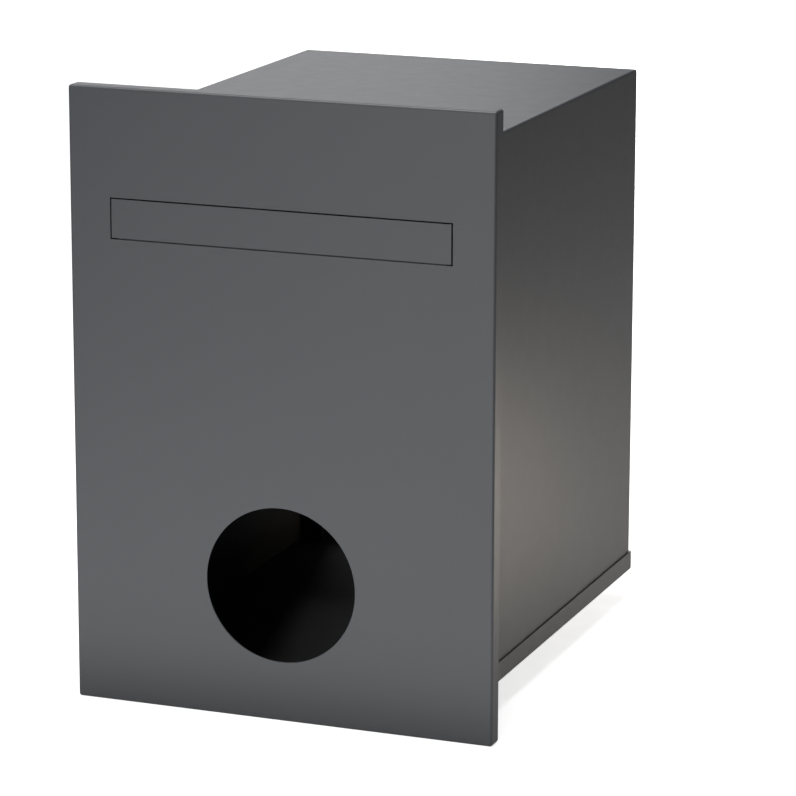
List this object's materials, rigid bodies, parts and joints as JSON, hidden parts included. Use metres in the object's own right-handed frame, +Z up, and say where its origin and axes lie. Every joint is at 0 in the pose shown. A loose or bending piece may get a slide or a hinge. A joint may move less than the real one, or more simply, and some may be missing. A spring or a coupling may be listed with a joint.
{
  "type": "through-wall letterbox",
  "caption": "Through-wall steel letterbox with a sprung letter flap and a round newspaper hole in front, a key-locked top-hung mail door and an open newspaper outlet at the rear.",
  "frame": {"origin": "middle of the rim that the front plate seats on the wall with", "axes": "+Y into the wall, square to the plate; +Z up; +X to the right as seen from the street"},
  "size_m": [0.29, 0.3891, 0.408],
  "materials": {
    "powder_coat": "fine satin powder coat, charcoal grey",
    "zinc": "bright zinc plate",
    "spring_steel": "oiled spring steel",
    "bright_chrome": "polished chrome plate",
    "nickel": "nickel plate with handling scratches",
    "brass": "stamped"
  },
  "bodies": {
    "housing": {"front_plate": "powder_coat", "body_wrapper": "powder_coat", "bottom_tray": "powder_coat", "divider_shelf": "powder_coat", "mid_rail": "powder_coat", "top_jamb": "powder_coat", "stop_angle_left": "powder_coat", "stop_angle_right": "powder_coat", "flap_bracket_left": "zinc", "flap_bracket_right": "zinc", "flap_hinge_rod": "zinc", "rod_clip_left": "spring_steel", "rod_clip_right": "spring_steel", "flap_spring": "spring_steel"},
    "flap": {"letter_flap": "powder_coat", "flap_stop_strip": "powder_coat"},
    "door": {"door_panel": "powder_coat", "door_pin_left": "zinc", "door_pin_right": "zinc", "lock_housing": "bright_chrome", "lock_nut": "zinc"},
    "plug": {"lock_plug": "bright_chrome", "lock_wafers": "brass", "stop_washer": "zinc", "lock_cam": "zinc", "cam_screw": "zinc"},
    "key": {"lock_key": "nickel"},
    "ring": {"split_ring": "nickel"},
    "spare": {"spare_key": "nickel"}
  },
  "joints": [
    {"name": "door_hinge", "type": "hinge", "parent": "housing", "child": "door", "pos_m": [0, 0.3342, 0.1555], "axis": [1, 0, 0], "range_deg": [0, 115]},
    {"name": "flap_hinge", "type": "hinge", "parent": "housing", "child": "flap", "pos_m": [0, -0.005, 0.1344], "axis": [1, 0, 0], "range_deg": [0, 80], "stiffness_Nm_per_rad": 0.02, "springref_deg": -57.3, "deforming": ["flap_spring"]},
    {"name": "lock_turn", "type": "hinge", "parent": "door", "child": "plug", "pos_m": [0, 0.338, -0.0034], "axis": [0, 1, 0], "range_deg": [0, 90]},
    {"name": "key_slide", "type": "slide", "parent": "plug", "child": "key", "axis": [0, 1, 0], "range_m": [0, 0.022]},
    {"name": "ring_swing", "type": "hinge", "parent": "key", "child": "ring", "pos_m": [0, 0.36525, -0.0034], "axis": [1, 0, 0], "range_deg": [-10, 150]},
    {"name": "spare_swing", "type": "hinge", "parent": "ring", "child": "spare", "pos_m": [0, 0.36525, -0.02625], "axis": [0.9659, 0.2588, 0], "range_deg": [-12, 80]}
  ]
}
